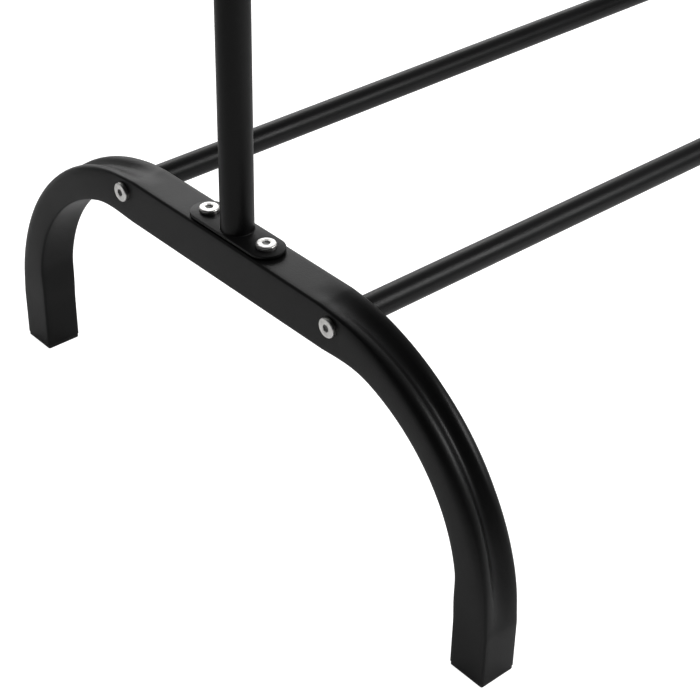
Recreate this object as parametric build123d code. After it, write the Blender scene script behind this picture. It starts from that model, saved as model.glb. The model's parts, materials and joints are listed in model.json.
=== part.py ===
from build123d import *

import math
import os

# Free-standing garment rail. Two arched feet made of bent square tube carry one
# round upright each. A hanging rail joins the uprights at the top, and two lower
# rails join the feet. Everything is bolted together and stands on four caps.
# Axes: X along the rails, Y across the feet, Z up from the floor.
# The origin is on the floor, in the middle. Millimetres.

# Overall size
frame_length = 1000.0           # between the centre planes of the two feet
hanging_height = 1500.0         # centre line of the hanging rail
foot_depth = 458.0              # over the two legs of a foot
foot_height = 185.0             # top face of the arch

# Foot: one square tube bent into an arch
tube_width = 26.0               # along X
tube_depth = 28.0               # along the radius of the bends
tube_wall = 1.2
tube_corner = 2.5
bend_radius = 122.5             # centre line of the tube

# Plastic caps in the open ends of the foot
cap_flange = 3.0
cap_inset = 0.4                 # the flange is a little smaller than the tube
cap_plug_length = 14.0
cap_plug_wall = 1.0

# Upright: two round tubes joined by a spigot inside both of them
post_diameter = 20.0
post_wall = 1.2
post_joint_level = 820.0
spigot_length = 80.0
spigot_wall = 1.0

# Base plate welded under the upright
plate_width = 23.0
plate_thickness = 2.0
weld_leg = 2.0

# Rails
lower_rail_diameter = 16.0
lower_rail_wall = 1.0
lower_rail_spacing = 193.0
lower_rail_level = 174.5
hanging_rail_diameter = 25.0
hanging_rail_wall = 1.2
hanging_rail_overhang = 50.0    # beyond the centre plane of each foot
saddle_floor = 4.0              # saddle under the lowest line of the hanging rail
saddle_plug_length = 24.0
rail_cap_flange = 3.0
rail_cap_plug_length = 12.0

# Furniture screws with a wide flat head and a hexagon socket
screw_diameter = 6.0
screw_hole = 6.4
head_diameter = 12.2
head_height = 2.6
head_chamfer = 0.5
socket_flats = 4.0
socket_depth = 1.8
plate_screw_spacing = 53.0
plate_screw_length = 14.0
rail_screw_length = 45.0
top_screw_length = 42.0

# Threaded plugs in the rails, and rivet nuts in the top wall of the foot
insert_length = 24.0
nut_flange_diameter = 10.0
nut_flange_height = 0.8
nut_body_diameter = 8.0
nut_length = 12.0

arch_level = foot_height - tube_depth / 2
spring_level = arch_level - bend_radius
half_run = foot_depth / 2 - tube_depth / 2 - bend_radius
leg_reach = half_run + bend_radius
plate_bottom = foot_height + nut_flange_height
post_bottom = plate_bottom + plate_thickness
post_top = hanging_height - hanging_rail_diameter / 2 - saddle_floor
post_inside = post_diameter - 2 * post_wall
half_lower_rail = (frame_length - tube_width) / 2
half_hanging_rail = frame_length / 2 + hanging_rail_overhang

left, right = -1, 1
front, rear = -1, 1
side_names = {left: "left", right: "right"}
end_names = {front: "front", rear: "rear"}
upwards = (Align.CENTER, Align.CENTER, Align.MIN)


def rod(diameter, length):
    """Round bar along +Z that stands on Z = 0."""
    return Cylinder(diameter / 2, length, align=upwards)


def tube(diameter, wall, length):
    """Round tube along +Z that stands on Z = 0."""
    return rod(diameter, length) - rod(diameter - 2 * wall, length)


def along_x(shape, start, direction):
    """Lay a shape built along +Z so that it runs from start along +X or -X."""
    return Pos(*start) * Rot(0, 90 * direction, 0) * shape


def screw(length):
    """Screw with its head's seat on Z = 0 and its shank along -Z."""
    shank = Pos(0, 0, -length) * rod(screw_diameter, length)
    head = rod(head_diameter, head_height)
    rim = head.edges().group_by(Axis.Z)[-1]
    head = chamfer(rim, head_chamfer)
    hexagon = RegularPolygon(socket_flats / 2, 6, major_radius=False)
    socket = Pos(0, 0, head_height - socket_depth) * extrude(hexagon, socket_depth)
    return shank + head - socket


def tube_section(inset):
    """Cross-section of the square tube, set in from its outside."""
    width = tube_width - 2 * inset
    depth = tube_depth - 2 * inset
    return RectangleRounded(width, depth, tube_corner - inset)


def arch_path():
    """Centre line of a foot tube from one open end to the other, in the YZ plane."""
    corner = bend_radius * math.sin(math.radians(45))
    front_end = (0, -leg_reach, cap_flange)
    front_spring = (0, -leg_reach, spring_level)
    front_middle = (0, -half_run - corner, spring_level + corner)
    front_top = (0, -half_run, arch_level)
    rear_top = (0, half_run, arch_level)
    rear_middle = (0, half_run + corner, spring_level + corner)
    rear_spring = (0, leg_reach, spring_level)
    rear_end = (0, leg_reach, cap_flange)
    edges = [
        Edge.make_line(front_end, front_spring),
        Edge.make_three_point_arc(front_spring, front_middle, front_top),
        Edge.make_line(front_top, rear_top),
        Edge.make_three_point_arc(rear_top, rear_middle, rear_spring),
        Edge.make_line(rear_spring, rear_end),
    ]
    return Wire(edges)


def foot_tube(side):
    """Bent square tube with holes for the rivet nuts and the rail screws."""
    start = Plane((0, -leg_reach, cap_flange))
    wall = tube_section(0) - tube_section(tube_wall)
    arch = sweep(start * wall, path=arch_path())
    for y in (-plate_screw_spacing / 2, plate_screw_spacing / 2):
        arch -= Pos(0, y, arch_level) * rod(nut_body_diameter, tube_depth)
    for y in (-lower_rail_spacing / 2, lower_rail_spacing / 2):
        drill = rod(screw_hole, 2 * tube_width)
        arch -= along_x(drill, (-tube_width, y, lower_rail_level), right)
    return Pos(side * frame_length / 2, 0, 0) * arch


def foot_cap(side, end):
    """Cap with a flange under the end of the tube and a hollow plug inside it."""
    flange = extrude(tube_section(cap_inset), cap_flange)
    plug = extrude(tube_section(tube_wall), cap_plug_length)
    hollow = extrude(tube_section(tube_wall + cap_plug_wall), cap_plug_length)
    cap = flange + Pos(0, 0, cap_flange) * (plug - hollow)
    return Pos(side * frame_length / 2, end * leg_reach, 0) * cap


def rivet_nut(side, end):
    """Rivet nut in the top wall of the foot, its flange under the base plate."""
    flange = rod(nut_flange_diameter, nut_flange_height)
    body_length = nut_length - nut_flange_height
    body = Pos(0, 0, -body_length) * rod(nut_body_diameter, body_length)
    thread = Pos(0, 0, -body_length) * rod(screw_diameter, nut_length)
    y = end * plate_screw_spacing / 2
    return Pos(side * frame_length / 2, y, foot_height) * (flange + body - thread)


def base_plate(side):
    """Plate with round ends under the upright, held by two screws."""
    outline = SlotOverall(plate_screw_spacing + plate_width, plate_width, rotation=90)
    for y in (-plate_screw_spacing / 2, plate_screw_spacing / 2):
        outline -= Pos(0, y) * Circle(screw_hole / 2)
    plate = extrude(outline, plate_thickness)
    return Pos(side * frame_length / 2, 0, plate_bottom) * plate


def post_weld(side):
    """Fillet weld around the foot of the upright."""
    radius = post_diameter / 2
    profile = Polyline((radius, 0, 0), (radius + weld_leg, 0, 0), (radius, 0, weld_leg), close=True)
    bead = revolve(make_face(profile.edges()), Axis.Z)
    return Pos(side * frame_length / 2, 0, post_bottom) * bead


def plate_screw(side, end):
    """Screw through the base plate into its rivet nut."""
    y = end * plate_screw_spacing / 2
    return Pos(side * frame_length / 2, y, post_bottom) * screw(plate_screw_length)


def rail_screw(side, end):
    """Screw through both walls of the foot into the plug of a lower rail."""
    seat = side * (frame_length + tube_width) / 2
    y = end * lower_rail_spacing / 2
    return along_x(screw(rail_screw_length), (seat, y, lower_rail_level), side)


def lower_rail(end):
    """Round rail between the inner side walls of the feet."""
    rail = tube(lower_rail_diameter, lower_rail_wall, 2 * half_lower_rail)
    y = end * lower_rail_spacing / 2
    return along_x(rail, (-half_lower_rail, y, lower_rail_level), right)


def rail_insert(side, end):
    """Threaded plug pressed into an end of a lower rail."""
    plug = tube(
        lower_rail_diameter - 2 * lower_rail_wall,
        (lower_rail_diameter - screw_diameter) / 2 - lower_rail_wall,
        insert_length,
    )
    y = end * lower_rail_spacing / 2
    return along_x(plug, (side * half_lower_rail, y, lower_rail_level), -side)


def lower_post(side):
    """Lower length of the upright, welded to the base plate."""
    post = tube(post_diameter, post_wall, post_joint_level - post_bottom)
    return Pos(side * frame_length / 2, 0, post_bottom) * post


def upper_post(side):
    """Upper length of the upright, slipped over the spigot."""
    post = tube(post_diameter, post_wall, post_top - post_joint_level)
    return Pos(side * frame_length / 2, 0, post_joint_level) * post


def post_spigot(side):
    """Short tube inside the two lengths of the upright."""
    spigot = tube(post_inside, spigot_wall, spigot_length)
    return Pos(side * frame_length / 2, 0, post_joint_level - spigot_length / 2) * spigot


def post_saddle(side):
    """Threaded plug in the top of the upright, hollowed to seat the hanging rail."""
    collar_height = saddle_floor + hanging_rail_diameter / 2
    collar = rod(post_diameter, collar_height)
    rail = rod(hanging_rail_diameter, 2 * hanging_rail_diameter)
    seat = along_x(rail, (-hanging_rail_diameter, 0, collar_height), right)
    plug = Pos(0, 0, -saddle_plug_length) * rod(post_inside, saddle_plug_length)
    thread = Pos(0, 0, -saddle_plug_length) * rod(screw_diameter, 2 * saddle_plug_length)
    saddle = collar - seat + plug - thread
    return Pos(side * frame_length / 2, 0, post_top) * saddle


def hanging_rail():
    """Round rail for the hangers, drilled for the two top screws."""
    bar = tube(hanging_rail_diameter, hanging_rail_wall, 2 * half_hanging_rail)
    rail = along_x(bar, (-half_hanging_rail, 0, hanging_height), right)
    for side in (left, right):
        drill = rod(screw_hole, 2 * hanging_rail_diameter)
        rail -= Pos(side * frame_length / 2, 0, hanging_height - hanging_rail_diameter) * drill
    return rail


def hanging_rail_screw(side):
    """Screw down through the hanging rail into the saddle."""
    seat = hanging_height + hanging_rail_diameter / 2
    return Pos(side * frame_length / 2, 0, seat) * screw(top_screw_length)


def hanging_rail_cap(side):
    """Cap that closes an end of the hanging rail."""
    inside = hanging_rail_diameter - 2 * hanging_rail_wall
    plug = Pos(0, 0, -rail_cap_plug_length) * rod(inside, rail_cap_plug_length)
    flange = rod(hanging_rail_diameter, rail_cap_flange)
    flange = chamfer(flange.edges().group_by(Axis.Z)[-1], head_chamfer)
    return along_x(plug + flange, (side * half_hanging_rail, 0, hanging_height), side)


def build():
    """Every piece of the garment rail, by name."""
    parts = {"hanging_rail": hanging_rail()}
    for end, end_name in end_names.items():
        parts[f"lower_rail_{end_name}"] = lower_rail(end)
    for side, side_name in side_names.items():
        parts[f"foot_tube_{side_name}"] = foot_tube(side)
        parts[f"base_plate_{side_name}"] = base_plate(side)
        parts[f"post_weld_{side_name}"] = post_weld(side)
        parts[f"lower_post_{side_name}"] = lower_post(side)
        parts[f"post_spigot_{side_name}"] = post_spigot(side)
        parts[f"upper_post_{side_name}"] = upper_post(side)
        parts[f"post_saddle_{side_name}"] = post_saddle(side)
        parts[f"hanging_rail_screw_{side_name}"] = hanging_rail_screw(side)
        parts[f"hanging_rail_cap_{side_name}"] = hanging_rail_cap(side)
        for end, end_name in end_names.items():
            place = f"{side_name}_{end_name}"
            parts[f"foot_cap_{place}"] = foot_cap(side, end)
            parts[f"rivet_nut_{place}"] = rivet_nut(side, end)
            parts[f"plate_screw_{place}"] = plate_screw(side, end)
            parts[f"rail_screw_{place}"] = rail_screw(side, end)
            parts[f"rail_insert_{place}"] = rail_insert(side, end)
    return parts


os.makedirs("parts", exist_ok=True)
for name, shape in build().items():
    export_step(shape, f"parts/{name}.step")
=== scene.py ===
import json
import math

import bmesh
import bpy
from mathutils import Matrix, Vector, noise

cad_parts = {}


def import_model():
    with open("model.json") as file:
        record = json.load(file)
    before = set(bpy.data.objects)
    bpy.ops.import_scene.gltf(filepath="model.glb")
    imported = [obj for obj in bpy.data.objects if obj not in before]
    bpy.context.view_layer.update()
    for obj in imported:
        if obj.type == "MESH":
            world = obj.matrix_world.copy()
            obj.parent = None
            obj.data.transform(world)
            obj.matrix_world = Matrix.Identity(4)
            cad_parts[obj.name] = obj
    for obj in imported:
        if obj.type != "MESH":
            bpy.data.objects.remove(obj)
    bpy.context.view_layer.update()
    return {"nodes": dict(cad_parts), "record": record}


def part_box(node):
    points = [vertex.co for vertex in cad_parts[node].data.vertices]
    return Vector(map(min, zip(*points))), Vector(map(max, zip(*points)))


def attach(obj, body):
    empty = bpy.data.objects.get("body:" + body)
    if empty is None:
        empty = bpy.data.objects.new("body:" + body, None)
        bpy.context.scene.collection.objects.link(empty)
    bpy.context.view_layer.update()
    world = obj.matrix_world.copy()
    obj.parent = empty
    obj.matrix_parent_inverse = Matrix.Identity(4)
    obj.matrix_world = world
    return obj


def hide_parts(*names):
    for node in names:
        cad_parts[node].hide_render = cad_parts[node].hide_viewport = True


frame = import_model()

# Lengths are in metres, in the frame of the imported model: X along the rails,
# Y across the feet, Z up from the floor.
MM = 0.001
BODY = "root"
SIDES = {"left": -1, "right": 1}
ENDS = {"front": -1, "rear": 1}

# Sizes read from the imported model
foot_low, foot_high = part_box("foot_tube_right")
cap_low, cap_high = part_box("foot_cap_right_rear")
screw_low, screw_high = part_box("rail_screw_right_rear")
FOOT_X = (foot_low.x + foot_high.x) / 2
TUBE_WIDTH = foot_high.x - foot_low.x
FOOT_TOP = foot_high.z
HALF_DEPTH = foot_high.y
CAP_TOP = foot_low.z
CAP_WIDTH = cap_high.x - cap_low.x
CAP_DEPTH = cap_high.y - cap_low.y
CAP_INSET = (TUBE_WIDTH - CAP_WIDTH) / 2
TUBE_DEPTH = CAP_DEPTH + 2 * CAP_INSET
RAIL_SCREW_Y = (screw_low.y + screw_high.y) / 2
RAIL_SCREW_Z = (screw_low.z + screw_high.z) / 2

# The foot's square tube, as designed
BEND_RADIUS = 122.5 * MM
TUBE_WALL = 1.2 * MM
TUBE_CORNER = 1.6 * MM          # radius of the section's corners
HALF_RUN = HALF_DEPTH - TUBE_DEPTH / 2 - BEND_RADIUS
LEG_REACH = HALF_DEPTH - TUBE_DEPTH / 2
ARCH_LEVEL = FOOT_TOP - TUBE_DEPTH / 2
SPRING_LEVEL = ARCH_LEVEL - BEND_RADIUS
BEND_LENGTH = BEND_RADIUS * math.pi / 2

# The round tubes, as designed
POST_WALL = 1.2 * MM
HANGING_RAIL_WALL = 1.2 * MM
LOWER_RAIL_WALL = 1.0 * MM


# ---------------------------------------------------------------- mesh helpers

def smoothstep(t):
    t = min(max(t, 0.0), 1.0)
    return t * t * (3 - 2 * t)


def add_piece(node, verts, faces, slot, place, sharp_angle=40.0):
    """A detailed mesh that rides on the frame and stands for a CAD node."""
    mesh = bpy.data.meshes.new(f"{node}_look")
    mesh.from_pydata([tuple(v) for v in verts], [], faces)
    work = bmesh.new()
    work.from_mesh(mesh)
    bmesh.ops.recalc_face_normals(work, faces=work.faces)
    work.to_mesh(mesh)
    work.free()
    mesh.shade_smooth()
    mesh.set_sharp_from_angle(angle=math.radians(sharp_angle))
    mesh.materials.append(MATERIALS[slot])
    piece = bpy.data.objects.new(f"{node}_look", mesh)
    bpy.context.scene.collection.objects.link(piece)
    piece.matrix_world = place
    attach(piece, BODY)
    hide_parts(node)


def skin(rings, loop=False):
    """Quads between rings that have the same number of points."""
    count = len(rings[0])
    verts = [point for ring in rings for point in ring]
    faces = []
    for i in range(len(rings) if loop else len(rings) - 1):
        a = i * count
        b = (i + 1) % len(rings) * count
        for j in range(count):
            k = (j + 1) % count
            faces.append((a + j, a + k, b + k, b + j))
    return verts, faces


def capped_skin(rings):
    """Quads between rings, with the first and the last ring closed."""
    verts, faces = skin(rings)
    count = len(rings[0])
    faces.append(tuple(reversed(range(count))))
    faces.append(tuple(range(len(verts) - count, len(verts))))
    return verts, faces


def circle_row(radius, segments):
    row = []
    for j in range(segments):
        angle = 2 * math.pi * j / segments
        row.append((radius * math.cos(angle), radius * math.sin(angle)))
    return row


def hexagon_row(half_flats, segments):
    row = []
    sector = math.pi / 3
    for j in range(segments):
        angle = 2 * math.pi * j / segments
        radius = half_flats / math.cos(angle % sector - sector / 2)
        row.append((radius * math.cos(angle), radius * math.sin(angle)))
    return row


def turned(rows, heights, closed=False):
    """Surface through rows of points at given heights. A row of None is a point on the axis."""
    verts = []
    indices = []
    segments = max(len(row) for row in rows if row)
    for row, z in zip(rows, heights):
        start = len(verts)
        if row is None:
            verts.append((0, 0, z))
            indices.append([start] * segments)
        else:
            verts.extend((x, y, z) for x, y in row)
            indices.append(list(range(start, start + segments)))
    faces = []
    count = len(rows)
    for i in range(count if closed else count - 1):
        lower = indices[i]
        upper = indices[(i + 1) % count]
        for j in range(segments):
            k = (j + 1) % segments
            corners = (lower[j], lower[k], upper[k], upper[j])
            faces.append(tuple(dict.fromkeys(corners)))
    return verts, faces


def standing(x, y, z):
    return Matrix.Translation((x, y, z))


def lying(x, y, z, direction):
    """Places a piece built along +Z so that it points along +X or -X."""
    return Matrix.Translation((x, y, z)) @ Matrix.Rotation(direction * math.pi / 2, 4, "Y")


def middle(low, high):
    return (low + high) / 2


def rounded_rectangle(half_width, half_depth, corner, flat_steps, corner_steps):
    """Points of a rounded rectangle, anticlockwise from its +X, +Y corner."""
    points = []
    quarters = [(1, 1), (-1, 1), (-1, -1), (1, -1)]
    for index, (sx, sy) in enumerate(quarters):
        cx = sx * (half_width - corner)
        cy = sy * (half_depth - corner)
        for step in range(corner_steps + 1):
            angle = math.radians(90 * index + 90 * step / corner_steps)
            points.append((cx + corner * math.cos(angle), cy + corner * math.sin(angle)))
        last = points[-1]
        turn = math.radians(90 * (index + 1))
        nx, ny = quarters[(index + 1) % 4]
        goal = (
            nx * (half_width - corner) + corner * math.cos(turn),
            ny * (half_depth - corner) + corner * math.sin(turn),
        )
        for step in range(1, flat_steps):
            t = step / flat_steps
            points.append((last[0] + t * (goal[0] - last[0]), last[1] + t * (goal[1] - last[1])))
    return points


# ------------------------------------------------------------------- materials

def new_material(name):
    material = bpy.data.materials.new(name)
    material.use_nodes = True
    tree = material.node_tree
    return material, tree.nodes, tree.links, tree.nodes["Principled BSDF"]


def noise_factor(nodes, links, scale, detail=2.0, roughness=0.5):
    coordinates = nodes.new("ShaderNodeTexCoord")
    texture = nodes.new("ShaderNodeTexNoise")
    texture.inputs["Scale"].default_value = scale
    texture.inputs["Detail"].default_value = detail
    texture.inputs["Roughness"].default_value = roughness
    links.new(coordinates.outputs["Object"], texture.inputs["Vector"])
    return texture.outputs["Fac"]


def ranged(nodes, links, factor, low, high, start=0.35, stop=0.65):
    """The factor's range from start to stop, mapped to the range from low to high."""
    node = nodes.new("ShaderNodeMapRange")
    node.inputs["From Min"].default_value = start
    node.inputs["From Max"].default_value = stop
    node.inputs["To Min"].default_value = low
    node.inputs["To Max"].default_value = high
    links.new(factor, node.inputs["Value"])
    return node.outputs["Result"]


def ramp(nodes, links, factor, stops):
    """Colour that runs between two stops."""
    node = nodes.new("ShaderNodeValToRGB")
    for element, (position, colour) in zip(node.color_ramp.elements, stops):
        element.position = position
        element.color = (*colour, 1.0)
    links.new(factor, node.inputs["Fac"])
    return node.outputs["Color"]


def bumped(nodes, links, factor, distance, strength, under=None):
    """Normal of a bump, on top of the one under it if there is one."""
    node = nodes.new("ShaderNodeBump")
    node.inputs["Distance"].default_value = distance
    node.inputs["Strength"].default_value = strength
    links.new(factor, node.inputs["Height"])
    if under is not None:
        links.new(under, node.inputs["Normal"])
    return node.outputs["Normal"]


def powder_coat():
    """Satin black powder coat: fine grain over a soft orange peel, with slight colour drift."""
    material, nodes, links, shader = new_material("black_powder_coat")
    grain = noise_factor(nodes, links, scale=1300.0, roughness=0.6)
    peel = noise_factor(nodes, links, scale=330.0)
    drift = noise_factor(nodes, links, scale=16.0, detail=3.0)
    black = ramp(nodes, links, drift, [
        (0.3, (0.0036, 0.0036, 0.0037)),
        (0.7, (0.0056, 0.0056, 0.0058)),
    ])
    links.new(black, shader.inputs["Base Color"])
    links.new(ranged(nodes, links, drift, low=0.38, high=0.44), shader.inputs["Roughness"])
    shader.inputs["IOR"].default_value = 1.45
    shader.inputs["Specular IOR Level"].default_value = 0.35
    soft = bumped(nodes, links, peel, distance=0.05 * MM, strength=0.5)
    fine = bumped(nodes, links, grain, distance=0.08 * MM, strength=0.8, under=soft)
    links.new(fine, shader.inputs["Normal"])
    return material


SOCKET_SHADE_RADIUS = 2.2 * MM  # within this distance of a screw's axis the nickel is dull, with painted shade in the socket
SOCKET_SHADE_FADE = 0.15 * MM


def nickel_plate():
    """Satin nickel with faint turning marks round the axis, a light haze, and a dull socket darkened
    with painted shade.
    """
    material, nodes, links, shader = new_material("nickel_plate")
    coordinates = nodes.new("ShaderNodeTexCoord")
    rings = nodes.new("ShaderNodeTexWave")
    rings.wave_type = "RINGS"
    rings.rings_direction = "Z"
    rings.inputs["Scale"].default_value = 700.0
    rings.inputs["Distortion"].default_value = 1.5
    rings.inputs["Detail"].default_value = 2.0
    links.new(coordinates.outputs["Object"], rings.inputs["Vector"])
    haze = noise_factor(nodes, links, scale=300.0, detail=4.0, roughness=0.6)
    nickel = ramp(nodes, links, haze, [
        (0.3, (0.50, 0.495, 0.485)),
        (0.7, (0.70, 0.695, 0.68)),
    ])
    split = nodes.new("ShaderNodeSeparateXYZ")
    links.new(coordinates.outputs["Object"], split.inputs["Vector"])
    flat = nodes.new("ShaderNodeCombineXYZ")
    links.new(split.outputs["X"], flat.inputs["X"])
    links.new(split.outputs["Y"], flat.inputs["Y"])
    radius = nodes.new("ShaderNodeVectorMath")
    radius.operation = "LENGTH"
    links.new(flat.outputs["Vector"], radius.inputs["Vector"])
    # Painted shade: this mask darkens the nickel's colour inside the socket, and also makes it less
    # metallic and rougher.
    dull_shaded_socket = ranged(
        nodes, links, radius.outputs["Value"],
        low=1.0, high=0.0, start=SOCKET_SHADE_RADIUS, stop=SOCKET_SHADE_RADIUS + SOCKET_SHADE_FADE,
    )
    metal = ranged(nodes, links, dull_shaded_socket, low=1.0, high=0.15, start=0.0, stop=1.0)
    links.new(metal, shader.inputs["Metallic"])
    # The painted shade colour of the socket, mixed in over the nickel.
    dark = nodes.new("ShaderNodeMix")
    dark.data_type = "RGBA"
    dark.inputs["B"].default_value = (0.26, 0.26, 0.255, 1.0)
    links.new(dull_shaded_socket, dark.inputs["Factor"])
    links.new(nickel, dark.inputs["A"])
    links.new(dark.outputs["Result"], shader.inputs["Base Color"])
    matt = nodes.new("ShaderNodeMix")
    matt.data_type = "FLOAT"
    matt.inputs["B"].default_value = 0.60
    links.new(dull_shaded_socket, matt.inputs["Factor"])
    links.new(ranged(nodes, links, haze, low=0.34, high=0.46), matt.inputs["A"])
    links.new(matt.outputs["Result"], shader.inputs["Roughness"])
    marks = bumped(nodes, links, rings.outputs["Fac"], distance=0.01 * MM, strength=0.3)
    links.new(marks, shader.inputs["Normal"])
    return material


def zinc_plate():
    """Dull zinc plate with a cloudy, slightly blue patchwork."""
    material, nodes, links, shader = new_material("zinc_plate")
    shader.inputs["Metallic"].default_value = 1.0
    cloud = noise_factor(nodes, links, scale=420.0, detail=4.0, roughness=0.65)
    zinc = ramp(nodes, links, cloud, [
        (0.3, (0.42, 0.43, 0.45)),
        (0.7, (0.58, 0.59, 0.60)),
    ])
    links.new(zinc, shader.inputs["Base Color"])
    links.new(ranged(nodes, links, cloud, low=0.34, high=0.52), shader.inputs["Roughness"])
    patches = bumped(nodes, links, cloud, distance=0.02 * MM, strength=0.4)
    links.new(patches, shader.inputs["Normal"])
    return material


def black_plastic():
    """Moulded black plastic with a fine spark-eroded texture."""
    material, nodes, links, shader = new_material("black_plastic")
    grain = noise_factor(nodes, links, scale=2000.0, detail=3.0, roughness=0.6)
    wear = noise_factor(nodes, links, scale=45.0, detail=3.0)
    black = ramp(nodes, links, wear, [
        (0.3, (0.009, 0.009, 0.009)),
        (0.7, (0.014, 0.014, 0.014)),
    ])
    links.new(black, shader.inputs["Base Color"])
    links.new(ranged(nodes, links, wear, low=0.42, high=0.55), shader.inputs["Roughness"])
    shader.inputs["Specular IOR Level"].default_value = 0.4
    sparked = bumped(nodes, links, grain, distance=0.03 * MM, strength=0.6)
    links.new(sparked, shader.inputs["Normal"])
    return material


MATERIALS = {
    "black_powder_coat": powder_coat(),
    "nickel_plate": nickel_plate(),
    "zinc_plate": zinc_plate(),
    "black_plastic": black_plastic(),
}


# --------------------------------------------------------------- the bent feet

# How the bending changes the section, fitted to the photo
RING_STEP = 2.0 * MM
RIDGE_DROP = 4.6 * MM           # the outer corners sink in the bend
RIDGE_DROP_POWER = 0.85         # below 1 the full drop comes early and stays longer
RIDGE_PINCH = 4.8 * MM          # and draw in, each side
RIDGE_PINCH_POWER = 1.4         # above 1 the pinch stays near the middle of the bend
ROLL_START = 0.38               # share of the half depth where a side wall starts to roll in
RIDGE_LEAD = 5 * MM             # the corners start to move this far before the bend
RIDGE_LAG = 12 * MM             # and are back in place this far past it
VALLEY_SINK = 3.6 * MM          # the outer wall dips between them
VALLEY_FLOOR = 0.10             # its flat bottom and the width of each slope,
VALLEY_SLOPE = 0.66             # both as shares of half the width
VALLEY_LEAD = 20 * MM           # it reaches this far past each end of the bend
VALLEY_FADE = 46 * MM           # and grows to its full depth over this length
SIDE_SWELL = 0.7 * MM           # the side walls swell
INNER_LIFT = 2.7 * MM           # the inner wall comes out in the bend
INNER_LEAD = 5 * MM             # from this far before it
INNER_LAG = 8 * MM              # to this far past it
INNER_IN = 44 * MM              # over this length at the start of the bend
INNER_OUT = 32 * MM             # and back over this one at its end
RUN_DEPTH_GAIN = 1.3 * MM       # the straight run is a little deeper
LEG_WIDTH_LOSS = 0.3 * MM       # each side of a leg is this much narrower
LEG_DEPTH_LOSS = 1.8 * MM       # and a leg is this much shallower
SEAT_RADIUS = 7 * MM            # the side walls stay flat under the rail screws
SEAT_FADE = 8 * MM              # and take their shape over this distance round them

LEAST_CORNER = 0.4 * MM
EDGE_KNEE = 0.3                 # a softened edge passes through this share of its size


def arch_station(distance):
    """Centre line of a foot at a distance from its middle: y, z and lean from upright."""
    side = -1 if distance < 0 else 1
    s = abs(distance)
    if s <= HALF_RUN:
        return side * s, ARCH_LEVEL, 0.0
    if s <= HALF_RUN + BEND_LENGTH:
        angle = (s - HALF_RUN) / BEND_RADIUS
        y = HALF_RUN + BEND_RADIUS * math.sin(angle)
        z = SPRING_LEVEL + BEND_RADIUS * math.cos(angle)
        return side * y, z, side * angle
    return side * LEG_REACH, SPRING_LEVEL - (s - HALF_RUN - BEND_LENGTH), side * math.pi / 2


def tube_ring(distance, inset):
    """One ring of the foot tube, its section shaped by the bending."""
    half_width = TUBE_WIDTH / 2
    half_depth = TUBE_DEPTH / 2
    into = abs(distance) - HALF_RUN
    left_over = BEND_LENGTH - into
    y, z, lean = arch_station(distance)
    through = (into + RIDGE_LEAD) / (BEND_LENGTH + RIDGE_LEAD + RIDGE_LAG)
    arch = math.sin(math.pi * min(max(through, 0.0), 1.0))
    drop = arch ** RIDGE_DROP_POWER * RIDGE_DROP
    dip = smoothstep((into + VALLEY_LEAD) / VALLEY_FADE)
    dip *= smoothstep((left_over + VALLEY_LEAD) / VALLEY_FADE)
    entered = smoothstep((into + INNER_LEAD) / INNER_IN)
    staying = smoothstep((left_over + INNER_LAG) / INNER_OUT)
    leg = smoothstep((INNER_OUT / 2 - left_over) / INNER_OUT)
    lift = entered * staying * INNER_LIFT + leg * (1 - staying) * LEG_DEPTH_LOSS
    lift -= (1 - entered) * RUN_DEPTH_GAIN
    outline = rounded_rectangle(
        half_width - inset, half_depth - inset, TUBE_CORNER - inset,
        flat_steps=9, corner_steps=5,
    )
    ring = []
    for across, out in outline:
        u = across / half_width
        v = out / half_depth
        outer = max(v, 0.0)
        inner = max(-v, 0.0)
        valley = 1 - smoothstep((abs(u) - VALLEY_FLOOR) / VALLEY_SLOPE)
        rolled = min(max((v - ROLL_START) / (1 - ROLL_START), 0.0), 1.0)
        pinch = arch ** RIDGE_PINCH_POWER * RIDGE_PINCH * (1 - math.sqrt(1 - rolled ** 2))
        swell = arch * SIDE_SWELL * (1 - v * v)
        loss = leg * LEG_WIDTH_LOSS + pinch - swell
        shaped = out - (drop + dip * VALLEY_SINK * valley) * outer + lift * inner
        py = y + shaped * math.sin(lean)
        pz = z + shaped * math.cos(lean)
        from_screw = math.hypot(abs(py) - RAIL_SCREW_Y, pz - RAIL_SCREW_Z)
        loss *= smoothstep((from_screw - SEAT_RADIUS) / SEAT_FADE)
        ring.append(Vector((across - u * loss, py, pz)))
    return ring


def foot_tube(side_name):
    length = HALF_RUN + BEND_LENGTH + SPRING_LEVEL - CAP_TOP
    count = round(length / RING_STEP)
    stations = [length * i / count for i in range(-count, count + 1)]
    outside = [tube_ring(s, 0.0) for s in stations]
    inside = [tube_ring(s, TUBE_WALL) for s in reversed(stations)]
    verts, faces = skin(outside + inside, loop=True)
    place = standing(SIDES[side_name] * FOOT_X, 0, 0)
    add_piece(f"foot_tube_{side_name}", verts, faces, "black_powder_coat", place)


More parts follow.
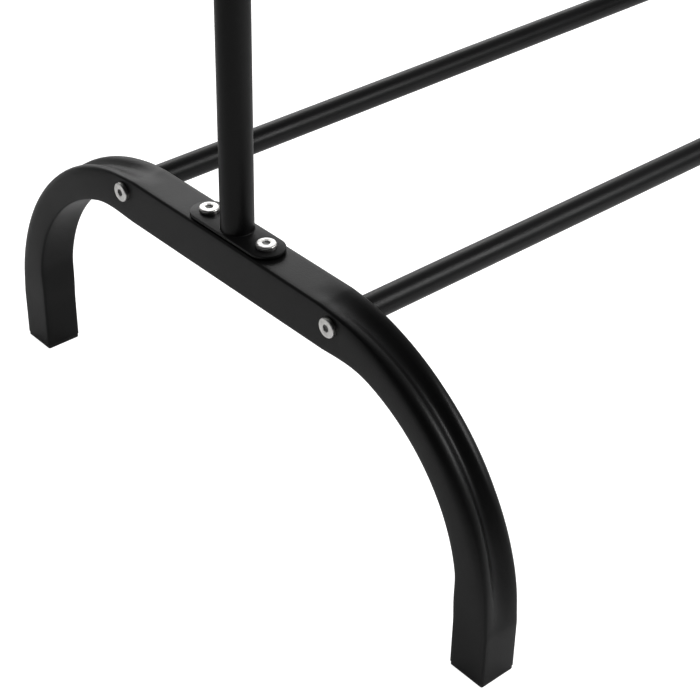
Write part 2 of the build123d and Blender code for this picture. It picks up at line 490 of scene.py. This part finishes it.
def foot_cap(side_name, end_name):
    """Cap: a flange with rounded edges and a moulded recess below, and a hollow plug."""
    node = f"foot_cap_{side_name}_{end_name}"
    low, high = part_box(node)
    half_width = CAP_WIDTH / 2 - LEG_WIDTH_LOSS
    half_depth = (CAP_DEPTH - LEG_DEPTH_LOSS) / 2
    flange = CAP_TOP - low.z
    plug_top = high.z - low.z
    clearance = 0.2 * MM
    plug = TUBE_WALL - CAP_INSET + clearance
    plug_wall = 1.0 * MM
    edge = 0.5 * MM
    knee = EDGE_KNEE * edge
    upper_edge = edge / 2
    rim = 4.0 * MM
    recess = 0.6 * MM
    profile = [
        (rim + recess, recess), (rim, 0.0), (edge, 0.0), (knee, knee), (0.0, edge),
        (0.0, flange - upper_edge), (upper_edge, flange), (plug, flange), (plug, plug_top),
        (plug + plug_wall, plug_top), (plug + plug_wall, flange),
    ]
    rings = []
    for inset, z in profile:
        corner = max(TUBE_CORNER - CAP_INSET - inset, LEAST_CORNER)
        outline = rounded_rectangle(
            half_width - inset, half_depth - inset, corner,
            flat_steps=4, corner_steps=5,
        )
        rings.append([(x, y, z) for x, y in outline])
    verts, faces = capped_skin(rings)
    centre = middle(low, high)
    y = centre.y + ENDS[end_name] * LEG_DEPTH_LOSS / 2
    place = standing(centre.x, y, low.z)
    add_piece(node, verts, faces, "black_plastic", place, sharp_angle=30.0)


# ---------------------------------------------------------- uprights and rails

ROUND_SEGMENTS = 128


def round_tube(node, radius, wall, length, place):
    """Round tube along +Z with softened ends."""
    inner = radius - wall
    edge = 0.25 * MM
    steps = 12
    profile = [(inner, edge), (inner + edge, 0), (radius - edge, 0), (radius, edge)]
    for i in range(1, steps):
        profile.append((radius, edge + (length - 2 * edge) * i / steps))
    profile += [
        (radius, length - edge), (radius - edge, length),
        (inner + edge, length), (inner, length - edge),
    ]
    rows = [circle_row(r, ROUND_SEGMENTS) for r, _ in profile]
    verts, faces = turned(rows, [z for _, z in profile], closed=True)
    add_piece(node, verts, faces, "black_powder_coat", place)


def upright(side_name):
    for part in ("lower_post", "upper_post"):
        node = f"{part}_{side_name}"
        low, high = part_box(node)
        centre = middle(low, high)
        place = standing(centre.x, centre.y, low.z)
        round_tube(node, (high.x - low.x) / 2, POST_WALL, high.z - low.z, place)


def rail(node, wall):
    low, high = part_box(node)
    centre = middle(low, high)
    place = lying(low.x, centre.y, centre.z, 1)
    round_tube(node, (high.y - low.y) / 2, wall, high.x - low.x, place)


def base_plate(side_name):
    """Plate with round ends and softened edges."""
    node = f"base_plate_{side_name}"
    low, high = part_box(node)
    half_width = (high.x - low.x) / 2
    half_straight = (high.y - low.y) / 2 - half_width
    thickness = high.z - low.z
    edge = 0.35 * MM
    knee = EDGE_KNEE * edge
    arc_steps = 40

    def outline(inset, z):
        radius = half_width - inset
        ring = []
        for end, start in ((1, 0), (-1, 180)):
            for step in range(arc_steps + 1):
                angle = math.radians(start + 180 * step / arc_steps)
                y = end * half_straight + radius * math.sin(angle)
                ring.append((radius * math.cos(angle), y, z))
        return ring

    verts, faces = capped_skin([
        outline(edge, 0.0),
        outline(knee, knee),
        outline(0.0, edge),
        outline(0.0, thickness - edge),
        outline(knee, thickness - knee),
        outline(edge, thickness),
    ])
    centre = middle(low, high)
    place = standing(centre.x, centre.y, low.z)
    add_piece(node, verts, faces, "black_powder_coat", place)


WELD_SIZE = 0.32                # the bead, as a share of the ring in the CAD model
WELD_RIPPLE = 0.02              # how much it changes from ripple to ripple
WELD_DRIFT = 0.08               # and, more slowly, round the post
WELD_DRIFT_WAVES = 3


def post_weld(side_name):
    """Weld bead round the foot of the upright, softly rippled under the coat."""
    node = f"post_weld_{side_name}"
    low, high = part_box(node)
    leg = high.z - low.z
    post = (high.x - low.x) / 2 - leg
    overlap = 0.2 * MM
    segments = 240
    ripples = 36
    steps = 8
    rings = []
    for j in range(segments):
        angle = 2 * math.pi * j / segments
        around = Vector((math.cos(angle), math.sin(angle), 0))
        drift = WELD_DRIFT * noise.noise(around * WELD_DRIFT_WAVES)
        reach = (WELD_SIZE + WELD_RIPPLE * math.cos(ripples * angle) + drift) * leg
        ring = [around * (post - overlap)]
        for step in range(steps + 1):
            t = math.radians(90 * step / steps)
            out = post + reach * (1 - math.sin(t))
            ring.append(around * out + Vector((0, 0, reach * (1 - math.cos(t)))))
        ring.append(around * (post - overlap) + Vector((0, 0, reach)))
        rings.append(ring)
    verts, faces = skin(rings, loop=True)
    centre = middle(low, high)
    place = standing(centre.x, centre.y, low.z)
    add_piece(node, verts, faces, "black_powder_coat", place, sharp_angle=60.0)


# ------------------------------------------------------------------ the screws

SHANK_RADIUS = 3.0 * MM
HEAD_HEIGHT = 2.6 * MM
HEAD_ROUND = 0.8 * MM
SOCKET_HALF = 2.0 * MM          # half of the hexagon's width across its flats
SOCKET_DEPTH = 1.0 * MM
SOCKET_CONE = 0.5 * MM
COUNTERSINK_RADIUS = 1.25 * SOCKET_HALF
COUNTERSINK_DEPTH = 0.15 * MM
SOCKET_LIP = 0.1 * MM           # the last bevel, from the countersink into the socket
SOCKET_LIP_DEPTH = 0.3 * MM


def screw(node, length, head_radius, place):
    """Screw with its seat on Z = 0: rounded flat head, countersunk hexagon socket."""
    segments = 72
    tip = 0.6 * MM
    soft = 0.15 * MM
    rows = [
        None,
        circle_row(SHANK_RADIUS - tip, segments),
        circle_row(SHANK_RADIUS, segments),
        circle_row(SHANK_RADIUS, segments),
        circle_row(head_radius - soft, segments),
        circle_row(head_radius, segments),
    ]
    heights = [-length, -length, tip - length, 0.0, 0.0, soft]
    steps = 6
    for step in range(steps + 1):
        t = math.radians(90 * step / steps)
        rows.append(circle_row(head_radius - HEAD_ROUND * (1 - math.cos(t)), segments))
        heights.append(HEAD_HEIGHT - HEAD_ROUND * (1 - math.sin(t)))
    rows += [
        circle_row(COUNTERSINK_RADIUS, segments),
        hexagon_row(SOCKET_HALF + SOCKET_LIP, segments),
        hexagon_row(SOCKET_HALF, segments),
        hexagon_row(SOCKET_HALF, segments),
        None,
    ]
    bottom = HEAD_HEIGHT - SOCKET_DEPTH
    heights += [
        HEAD_HEIGHT, HEAD_HEIGHT - COUNTERSINK_DEPTH, HEAD_HEIGHT - SOCKET_LIP_DEPTH,
        bottom, bottom - SOCKET_CONE,
    ]
    verts, faces = turned(rows, heights)
    add_piece(node, verts, faces, "nickel_plate", place, sharp_angle=32.0)


def upward_screw(node, turn):
    low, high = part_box(node)
    centre = middle(low, high)
    seat = high.z - HEAD_HEIGHT
    place = standing(centre.x, centre.y, seat) @ Matrix.Rotation(math.radians(turn), 4, "Z")
    screw(node, seat - low.z, (high.x - low.x) / 2, place)


def sideways_screw(node, side, turn):
    low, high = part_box(node)
    centre = middle(low, high)
    tip, face = (low.x, high.x) if side > 0 else (high.x, low.x)
    seat = face - side * HEAD_HEIGHT
    place = lying(seat, centre.y, centre.z, side) @ Matrix.Rotation(math.radians(turn), 4, "Z")
    screw(node, abs(seat - tip), (high.z - low.z) / 2, place)


def rail_cap(side_name):
    """Cap in the end of the hanging rail, with a low dome."""
    side = SIDES[side_name]
    node = f"hanging_rail_cap_{side_name}"
    low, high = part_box(node)
    centre = middle(low, high)
    _, rail_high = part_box("hanging_rail")
    flange = high.x - rail_high.x if side > 0 else -rail_high.x - low.x
    radius = (high.z - low.z) / 2
    plug = radius - HANGING_RAIL_WALL
    depth = high.x - low.x - flange
    segments = 96
    soft = 0.4 * MM
    lip = 0.2 * MM
    dome = 1.2 * MM
    dome_power = 0.6            # below 1 the dome is flatter, with a tighter edge
    rows = [
        None,
        circle_row(plug - soft, segments),
        circle_row(plug, segments),
        circle_row(plug, segments),
        circle_row(radius - lip, segments),
        circle_row(radius, segments),
        circle_row(radius, segments),
    ]
    heights = [-depth, -depth, soft - depth, 0.0, 0.0, lip, flange - dome]
    steps = 10
    for step in range(1, steps):
        t = math.radians(90 * step / steps)
        rows.append(circle_row(radius * math.cos(t) ** dome_power, segments))
        heights.append(flange - dome + dome * math.sin(t))
    rows.append(None)
    heights.append(flange)
    verts, faces = turned(rows, heights)
    place = lying(side * rail_high.x, centre.y, centre.z, side)
    add_piece(node, verts, faces, "black_plastic", place)


# ------------------------------------------------------------- the whole object

# Degrees that each screw's socket stands turned, so that no two look alike
TOP_TURNS = {"left": 25.0, "right": 65.0}
PLATE_TURNS = {"left": 17.0, "right": 46.0}
REAR_TURN = 11.0                # more on the rear end of a foot
RAIL_TURN = 8.0                 # and more on the screw of the lower rail

for side_name, side in SIDES.items():
    foot_tube(side_name)
    base_plate(side_name)
    post_weld(side_name)
    upright(side_name)
    rail_cap(side_name)
    upward_screw(f"hanging_rail_screw_{side_name}", TOP_TURNS[side_name])
    for end_name in ENDS:
        foot_cap(side_name, end_name)
        turn = PLATE_TURNS[side_name] + (REAR_TURN if end_name == "rear" else 0.0)
        upward_screw(f"plate_screw_{side_name}_{end_name}", turn)
        sideways_screw(f"rail_screw_{side_name}_{end_name}", side, turn + RAIL_TURN)

rail("hanging_rail", HANGING_RAIL_WALL)
for end_name in ENDS:
    rail(f"lower_rail_{end_name}", LOWER_RAIL_WALL)

# The CAD nodes take the detailed materials. The ones that no mesh replaces stay in view.
slots = {row["node"]: row["material_slot"] for row in frame["record"]["subparts"]}
for name, node in frame["nodes"].items():
    node.data.materials.clear()
    node.data.materials.append(MATERIALS[slots[name]])


# ------------------------------------------------------------------- the studio

FLOOR_HALF = 60.0
FLOOR_DROP = 0.05 * MM          # the floor lies this far under the caps
FLOOR_GREY = 0.79               # what the floor gives back to the object
FLOOR_SHADE = 0.30              # what it shows of the light and shadow that fall on it
FLOOR_GLOW = 0.9                # what it adds to that, for the camera
WORLD_WHITE = 1.3               # the world as the camera sees it
WORLD_LOW = 0.04                # and as the object sees it, on its dark side
WORLD_HIGH = 0.74               # and on its bright side
BRIGHT_SIDE = (0.55, 0.75, -0.16)       # low, behind the object and to its right
BRIGHT_START = -0.1             # how far a direction points to the bright side where the
BRIGHT_STOP = 0.65              # light starts to grow, and where it is full


def stage_material():
    """White to the camera, and a dimmer grey to the light that reaches the object."""
    material = bpy.data.materials.new("studio_floor")
    material.use_nodes = True
    nodes = material.node_tree.nodes
    links = material.node_tree.links
    nodes.clear()
    output = nodes.new("ShaderNodeOutputMaterial")
    mix = nodes.new("ShaderNodeMixShader")
    path = nodes.new("ShaderNodeLightPath")
    grey = nodes.new("ShaderNodeBsdfDiffuse")
    grey.inputs["Color"].default_value = (FLOOR_GREY, FLOOR_GREY, FLOOR_GREY, 1)
    white = nodes.new("ShaderNodeEmission")
    white.inputs["Strength"].default_value = FLOOR_GLOW
    shade = nodes.new("ShaderNodeBsdfDiffuse")
    shade.inputs["Color"].default_value = (FLOOR_SHADE, FLOOR_SHADE, FLOOR_SHADE, 1)
    both = nodes.new("ShaderNodeAddShader")
    links.new(white.outputs["Emission"], both.inputs[0])
    links.new(shade.outputs["BSDF"], both.inputs[1])
    links.new(path.outputs["Is Camera Ray"], mix.inputs["Fac"])
    links.new(grey.outputs["BSDF"], mix.inputs[1])
    links.new(both.outputs["Shader"], mix.inputs[2])
    links.new(mix.outputs["Shader"], output.inputs["Surface"])
    return material


def floor():
    mesh = bpy.data.meshes.new("floor")
    half = FLOOR_HALF
    corners = [(-half, -half, 0), (half, -half, 0), (half, half, 0), (-half, half, 0)]
    mesh.from_pydata(corners, [], [(0, 1, 2, 3)])
    mesh.materials.append(stage_material())
    plane = bpy.data.objects.new("floor", mesh)
    plane.location.z = -FLOOR_DROP
    bpy.context.scene.collection.objects.link(plane)


def world():
    """Plain white to the camera. To the object, a studio that is bright behind and dark in front."""
    made = bpy.data.worlds.new("studio")
    made.use_nodes = True
    nodes = made.node_tree.nodes
    links = made.node_tree.links
    background = nodes["Background"]
    coordinates = nodes.new("ShaderNodeTexCoord")
    toward = nodes.new("ShaderNodeVectorMath")
    toward.operation = "DOT_PRODUCT"
    toward.inputs[1].default_value = BRIGHT_SIDE
    links.new(coordinates.outputs["Generated"], toward.inputs[0])
    glow = ranged(
        nodes, links, toward.outputs["Value"],
        low=WORLD_LOW, high=WORLD_HIGH, start=BRIGHT_START, stop=BRIGHT_STOP,
    )
    path = nodes.new("ShaderNodeLightPath")
    strength = nodes.new("ShaderNodeMix")
    strength.data_type = "FLOAT"
    strength.inputs["B"].default_value = WORLD_WHITE
    links.new(path.outputs["Is Camera Ray"], strength.inputs["Factor"])
    links.new(glow, strength.inputs["A"])
    links.new(strength.outputs["Result"], background.inputs["Strength"])
    background.inputs["Color"].default_value = (1, 1, 1, 1)
    bpy.context.scene.world = made


def softbox(name, position, target, width, height, power, mirrored=True):
    """Area light that the camera doesn't see. One that isn't mirrored leaves no highlight."""
    data = bpy.data.lights.new(name, "AREA")
    data.shape = "RECTANGLE"
    data.size = width
    data.size_y = height
    data.energy = power
    light = bpy.data.objects.new(name, data)
    light.location = position
    aim = Vector(target) - Vector(position)
    light.rotation_euler = aim.to_track_quat("-Z", "Y").to_euler()
    light.visible_camera = False
    light.visible_glossy = mirrored
    bpy.context.scene.collection.objects.link(light)


floor()
world()
scene = bpy.context.scene
scene.view_settings.view_transform = "Standard"
scene.view_settings.gamma = 0.8
left_foot = (-FOOT_X, 0, 0.1)
front_bend = (-FOOT_X, -0.18, 0.13)
softbox(
    "overhead_softbox", position=(-0.5, -0.1, 3.0), target=left_foot,
    width=2.6, height=2.6, power=85, mirrored=False,
)
softbox(
    "rear_softbox", position=(1.2, 2.6, 1.5), target=left_foot,
    width=2.6, height=1.6, power=37,
)
softbox(
    "front_softbox", position=(0.25, -0.87, 0.78), target=front_bend,
    width=0.5, height=0.5, power=9,
)


# ------------------------------------------------------------------- the camera

CAMERA_AZIMUTH = -41.98
CAMERA_ELEVATION = 34.744
CAMERA_ROLL = 1.21
CAMERA_OFFSET = Vector((-0.5413, -0.7012, 0.7163))      # from the left foot's middle
CAMERA_LENS = 91.32
SENSOR_WIDTH = 36.0

azimuth = math.radians(CAMERA_AZIMUTH)
elevation = math.radians(CAMERA_ELEVATION)
roll = math.radians(CAMERA_ROLL)
ahead = -Vector((
    math.sin(azimuth) * math.cos(elevation),
    -math.cos(azimuth) * math.cos(elevation),
    math.sin(elevation),
))
right = Vector((math.cos(azimuth), math.sin(azimuth), 0))
above = right.cross(ahead)
across = right * math.cos(roll) + above * math.sin(roll)
upward = -right * math.sin(roll) + above * math.cos(roll)
turn = Matrix((across, upward, -ahead)).transposed().to_4x4()
camera_data = bpy.data.cameras.new("camera")
camera_data.sensor_width = SENSOR_WIDTH
camera_data.lens = CAMERA_LENS
camera = bpy.data.objects.new("camera", camera_data)
camera.matrix_world = Matrix.Translation(Vector((-FOOT_X, 0, 0)) + CAMERA_OFFSET) @ turn
scene.collection.objects.link(camera)
scene.camera = camera
